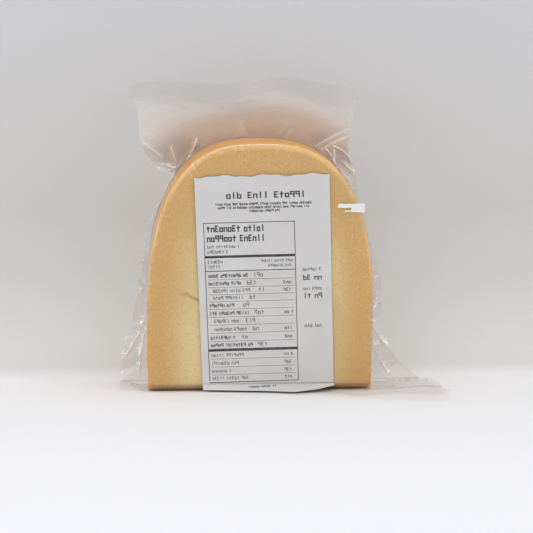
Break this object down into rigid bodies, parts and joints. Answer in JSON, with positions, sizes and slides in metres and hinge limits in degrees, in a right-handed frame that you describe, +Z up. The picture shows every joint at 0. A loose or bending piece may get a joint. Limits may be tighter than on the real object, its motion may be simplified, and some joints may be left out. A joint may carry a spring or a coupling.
{
  "type": "vacuum-packed cheese wedge",
  "caption": "Arched wedge of aged hard cheese with an orange rind, standing on its narrow cut end in a clear vacuum pouch with a paper scale label stuck on its front.",
  "frame": {"origin": "on the surface that the wedge stands on, below the middle of its narrow end, in the middle plane between its two cut faces", "axes": "+Z up, along the middle of the wedge from its trimmed end to the crown of the rind; +X to the right as seen from the labelled face, along the axis of the wheel that the wedge was cut from; -Y towards the viewer of the labelled face"},
  "size_m": [0.143, 0.0763, 0.138],
  "materials": {
    "cheese": "aged hard cheese: waxy ochre face, paler in its middle, with a thin orange rind",
    "film": "clear glossy vacuum film",
    "label_paper": null,
    "tape": "opaque white tape"
  },
  "bodies": {
    "root": {"cheese": "cheese", "bag_front_film": "film", "bag_back_film": "film", "label": "label_paper", "tape_tab": "tape"}
  },
  "joints": []
}
